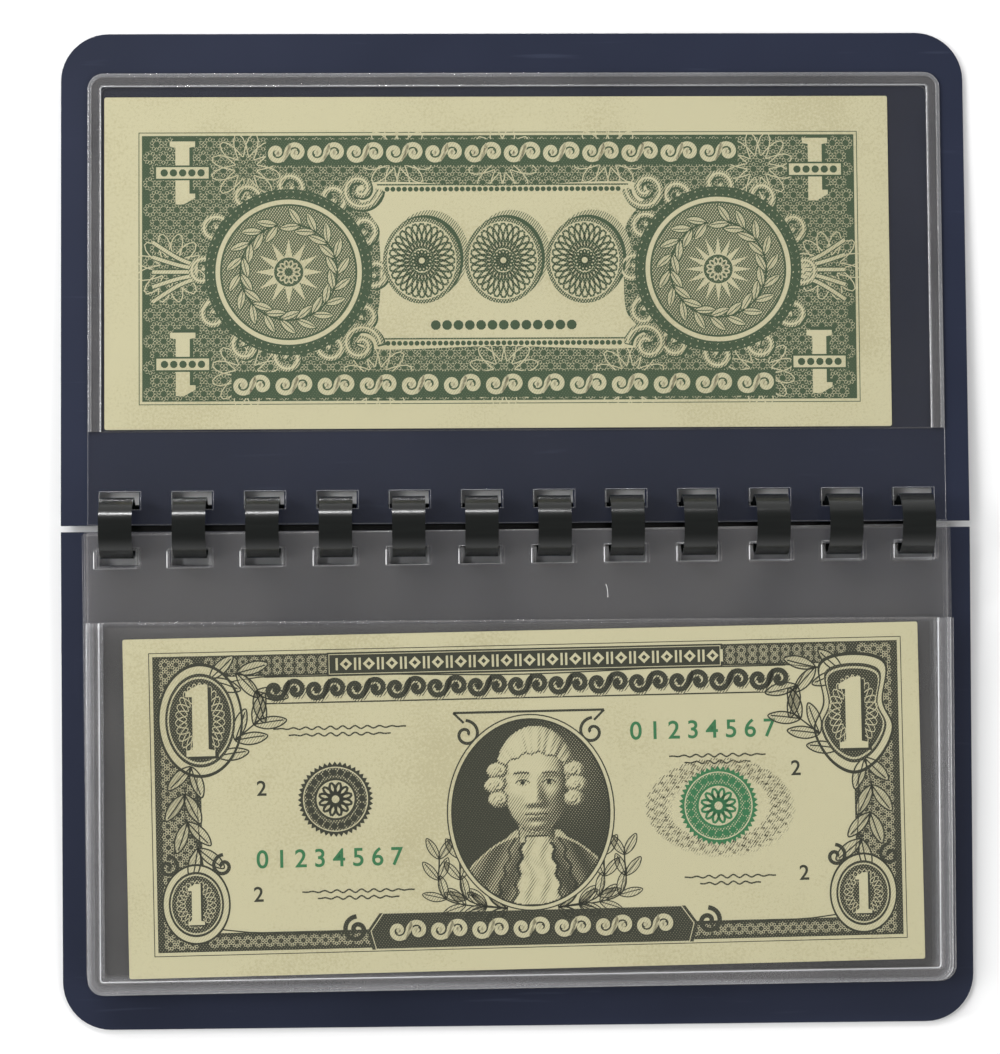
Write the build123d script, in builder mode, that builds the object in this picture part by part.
"""A comb-bound pocket album for banknotes, lying open on a table with its front cover and first page turned.

Twelve leaves hang on one plastic comb: two covers and ten clear pages. Every leaf turns about the comb's
axis, with its slots riding on the rings. A page is two films, a full sheet and a smaller window welded to
it along three sides, and its pocket opens towards the comb. Two pockets hold a note.

The frame: +X runs along the comb, +Y towards the open front cover, +Z up. The origin is on the table, under
the comb's axis. Sizes are in millimetres and angles in degrees.
"""

import os
from math import acos, asin, atan2, cos, degrees, hypot, radians, sin, sqrt

from build123d import *

os.makedirs("parts", exist_ok=True)

# The note that the album is made for.
NOTE_LENGTH = 156.1
NOTE_HEIGHT = 66.3
NOTE_THICKNESS = 0.11
NOTE_CORNER = 0.4

# A page: how much room the pocket leaves round the note, its welds and its films.
POCKET_SIDE_PLAY = 4.15
POCKET_DEPTH_PLAY = 2.4
POCKET_GAP = 0.18
POCKET_CORNER = 1.5
WELD_WIDTH = 2.8
FILM_THICKNESS = 0.15
BINDING_STRIP = 18.5
PAGE_CORNER = 3.2
PAGE_COUNT = 10
PAGE_AIR = 0.12

# A cover, and how far it stands proud of the pages.
COVER_SIDE_MARGIN = 5.0
COVER_OUTER_MARGIN = 8.0
COVER_THICKNESS = 0.8
COVER_CORNER = 9.5
COVER_AIR = 0.05

# The comb.
RING_OUTER_RADIUS = 6.0
COMB_THICKNESS = 0.45
RING_WIDTH = 6.5
RING_PITCH = 14.2875
SPINE_OVERHANG = 0.3
SPINE_FLARE = 0.8
SPINE_EDGE_SETBACK = 3.65
TIP_RADIUS = 4.0
TIP_ARC = 42.0
TIP_CORNER = 1.4

# The slots that hang a leaf on the rings: their play beside and outside a ring, and the least land at each end.
SLOT_SIDE_PLAY = 0.75
SLOT_OUTER_PLAY = 1.3
SLOT_END_LAND = 2.0

# Clearances.
LEAF_EDGE_GAP = 0.7
RING_CLEARANCE = 0.12
SPINE_CLEARANCE = 0.12
SPINE_TILT_ALLOWANCE = 2.5

# How the two notes lie in their pockets: along the comb, in from the pocket's mouth, and askew, as how much
# further out one end lies than the other.
FIRST_NOTE_SHIFT = 3.6
FIRST_NOTE_INSET = 0.4
FIRST_NOTE_SKEW = 0.0
SECOND_NOTE_SHIFT = 1.0
SECOND_NOTE_INSET = 1.4
SECOND_NOTE_SKEW = 1.25

# The slots' play lets the pages lie askew: how far the pile's top page is turned about the comb's middle, with
# the lowest one square, and how far a page strays along the comb. The stray runs through a wave, page by page.
PILE_SKEW = 0.45
PAGE_STRAY = 0.4
STRAY_STEP = 137.5

# Pages and covers take their outline from the note.
pocket_width = NOTE_LENGTH + 2 * POCKET_SIDE_PLAY
pocket_depth = NOTE_HEIGHT + POCKET_DEPTH_PLAY
page_width = pocket_width + 2 * WELD_WIDTH
page_depth = BINDING_STRIP + pocket_depth + WELD_WIDTH
cover_width = page_width + 2 * COVER_SIDE_MARGIN
cover_depth = page_depth + COVER_OUTER_MARGIN

# The stack, measured along the leaves' normal from the comb's axis.
page_thickness = 2 * FILM_THICKNESS + POCKET_GAP
page_pitch = page_thickness + PAGE_AIR
pages_half = PAGE_COUNT * page_pitch / 2
cover_inner = pages_half + COVER_AIR
cover_outer = cover_inner + COVER_THICKNESS

# The rings, and the slots that clear them through a whole turn.
ring_mean_radius = RING_OUTER_RADIUS - COMB_THICKNESS / 2
ring_inner_radius = RING_OUTER_RADIUS - COMB_THICKNESS
slot_width = RING_WIDTH + 2 * SLOT_SIDE_PLAY
slot_start = sqrt((ring_inner_radius - RING_CLEARANCE) ** 2 - cover_outer**2)
slot_end = RING_OUTER_RADIUS + SLOT_OUTER_PLAY
ring_count = int((page_width - slot_width - 2 * SLOT_END_LAND) / RING_PITCH) + 1

# The spine is an arc under the stack. It starts where the outermost leaf stops, and flares outwards so that
# the rings' tips tuck in behind its free edge.
root_angle = degrees(asin((cover_outer + SPINE_CLEARANCE) / ring_inner_radius)) + SPINE_TILT_ALLOWANCE
spine_start = 180 + root_angle
spine_arc = 180 - 2 * root_angle - SPINE_EDGE_SETBACK
spine_radius = ring_mean_radius + SPINE_FLARE
spine_length = (ring_count - 1) * RING_PITCH + RING_WIDTH + 2 * SPINE_OVERHANG
spine_shift_y = -SPINE_FLARE * cos(radians(spine_start))
spine_shift_z = -SPINE_FLARE * sin(radians(spine_start))

# The album stands on its spine and on the outer edges of its covers, which slope down to the table.
axis_height = spine_radius + COMB_THICKNESS / 2 - spine_shift_z
cover_edge = LEAF_EDGE_GAP + cover_depth
cover_reach = hypot(cover_outer, cover_edge)
tilt = degrees(atan2(cover_edge, cover_outer) - acos(axis_height / cover_reach))


def leaf_plane(turned, offset, page=0):
    """The plane of a leaf's lower face in the closed stack, at offset from the comb's axis. -Y runs outwards.

    A cover lies square to the comb. A page, given by its number, lies a little askew.
    """
    rise = sin(radians(tilt))
    run = cos(radians(tilt))
    normal = (0, -rise, -run if turned else run)
    stray = PAGE_STRAY * sin(radians(page * STRAY_STEP))
    skew = PILE_SKEW * (PAGE_COUNT - page) / (PAGE_COUNT - 2) if page > 1 else 0
    square = Plane(origin=(stray, 0, axis_height), x_dir=(1, 0, 0), z_dir=normal)
    return square.rotated((0, 0, skew)).offset(offset)


def draw_leaf(width, depth, corner):
    """A leaf's outline in the current sketch, with its outer corners rounded and one slot for each ring."""
    with Locations((0, -LEAF_EDGE_GAP)):
        outline = Rectangle(width, depth, align=(Align.CENTER, Align.MAX))
    fillet(outline.vertices().group_by(Axis.Y)[0], corner)
    with Locations((0, -slot_start)):
        with GridLocations(RING_PITCH, 0, ring_count, 1):
            Rectangle(slot_width, slot_end - slot_start, align=(Align.CENTER, Align.MAX), mode=Mode.SUBTRACT)


def draw_pocket(inset, corner, mouth_length=0.0):
    """The pocket's outline, inset from the page's edges, and mouth_length longer towards the comb."""
    mouth = LEAF_EDGE_GAP + BINDING_STRIP - mouth_length
    depth = pocket_depth + WELD_WIDTH + mouth_length - inset
    with Locations((0, -mouth)):
        outline = Rectangle(page_width - 2 * inset, depth, align=(Align.CENTER, Align.MAX))
    fillet(outline.vertices().group_by(Axis.Y)[0], corner)


def draw_arc_strip(centre, radius, start, sweep):
    """A strip of the comb's wall, seen along the comb, whose middle line is an arc."""
    with BuildLine() as outline:
        outer = CenterArc(centre, radius + COMB_THICKNESS / 2, start, sweep)
        inner = CenterArc(centre, radius - COMB_THICKNESS / 2, start, sweep)
        Line(outer @ 0, inner @ 0)
        Line(outer @ 1, inner @ 1)
    make_face(outline.edges())


def near(point, length):
    """A filter for the straight edges of one length whose middles lie on a line along X through point."""
    return lambda e: hypot(e.center().Y - point.X, e.center().Z - point.Y) < 0.01 and abs(e.length - length) < 0.01


def write(piece, name):
    """Labels a finished piece and writes its file."""
    piece.part.label = name
    export_step(piece.part, f"parts/{name}.step")


# The comb: one moulding, with a spine along its whole length and a ring at each slot.
comb_axis = Vector(0, axis_height)
spine_centre = comb_axis + Vector(spine_shift_y, spine_shift_z)
tip_direction = Vector(cos(radians(root_angle)), -sin(radians(root_angle)))
tip_centre = comb_axis + tip_direction * (ring_mean_radius - TIP_RADIUS)
tip_end_angle = radians(-root_angle - TIP_ARC)
tip_point = tip_centre + Vector(cos(tip_end_angle), sin(tip_end_angle)) * TIP_RADIUS
ring_places = [(i - (ring_count - 1) / 2) * RING_PITCH for i in range(ring_count)]

with BuildPart() as comb:
    with BuildSketch(Plane.YZ):
        draw_arc_strip(spine_centre, spine_radius, spine_start, spine_arc)
    extrude(amount=spine_length / 2, both=True)
    with BuildSketch(*[Plane.YZ.offset(x) for x in ring_places]):
        draw_arc_strip(comb_axis, ring_mean_radius, -root_angle, 180 + 2 * root_angle)
        draw_arc_strip(tip_centre, TIP_RADIUS, -root_angle - TIP_ARC, TIP_ARC)
    extrude(amount=RING_WIDTH / 2, both=True)
    fillet(comb.edges().filter_by(near(tip_point, COMB_THICKNESS)), TIP_CORNER)
write(comb, "comb")

# The covers. In the closed album the front one tops the stack, and here it is turned over.
with BuildPart() as front_cover:
    with BuildSketch(leaf_plane(True, cover_inner)):
        draw_leaf(cover_width, cover_depth, COVER_CORNER)
    extrude(amount=COVER_THICKNESS)
write(front_cover, "front_cover")

with BuildPart() as back_cover:
    with BuildSketch(leaf_plane(False, -cover_outer)):
        draw_leaf(cover_width, cover_depth, COVER_CORNER)
    extrude(amount=COVER_THICKNESS)
write(back_cover, "back_cover")

# The pages, numbered from the front. Only the first is turned.
for number in range(1, PAGE_COUNT + 1):
    turned = number == 1
    sheet_face = pages_half - number * page_pitch + PAGE_AIR / 2
    window_face = sheet_face + FILM_THICKNESS

    with BuildPart() as sheet:
        with BuildSketch(leaf_plane(turned, sheet_face, number)):
            draw_leaf(page_width, page_depth, PAGE_CORNER)
        extrude(amount=FILM_THICKNESS)
    write(sheet, f"page_{number:02d}_sheet")

    # The window film steps up from its welded rim to leave the pocket's gap under it.
    with BuildPart() as window:
        with BuildSketch(leaf_plane(turned, window_face, number)):
            draw_pocket(0, PAGE_CORNER)
        extrude(amount=FILM_THICKNESS)
        with BuildSketch(leaf_plane(turned, window_face, number)):
            draw_pocket(WELD_WIDTH - FILM_THICKNESS, POCKET_CORNER + FILM_THICKNESS)
        extrude(amount=POCKET_GAP + FILM_THICKNESS)
        with BuildSketch(leaf_plane(turned, window_face, number)):
            draw_pocket(WELD_WIDTH, POCKET_CORNER, mouth_length=WELD_WIDTH)
        extrude(amount=POCKET_GAP, mode=Mode.SUBTRACT)
    write(window, f"page_{number:02d}_window")


def lay_note(page, turned, shift, inset, skew):
    """A note in the middle of a page's pocket gap."""
    turn = degrees(asin(skew / NOTE_LENGTH))
    sheet_top = pages_half - page * page_pitch + PAGE_AIR / 2 + FILM_THICKNESS
    note_face = sheet_top + (POCKET_GAP - NOTE_THICKNESS) / 2
    middle = LEAF_EDGE_GAP + BINDING_STRIP + inset + NOTE_HEIGHT / 2
    with BuildPart() as note:
        with BuildSketch(leaf_plane(turned, note_face, page)):
            with Locations(Location((shift, -middle), turn)):
                RectangleRounded(NOTE_LENGTH, NOTE_HEIGHT, NOTE_CORNER)
        extrude(amount=NOTE_THICKNESS)
    return note


# One note in the turned page, shown from behind, and one in the page that faces the reader.
write(lay_note(1, True, -FIRST_NOTE_SHIFT, FIRST_NOTE_INSET, FIRST_NOTE_SKEW), "note_01")
write(lay_note(2, False, SECOND_NOTE_SHIFT, SECOND_NOTE_INSET, SECOND_NOTE_SKEW), "note_02")

print(f"covers {cover_width:.2f} x {cover_depth:.2f}, pages {page_width:.2f} x {page_depth:.2f}")
print(f"rings {ring_count}, slots {slot_start:.3f} mm from the axis, axis height {axis_height:.3f}, tilt {tilt:.3f}")
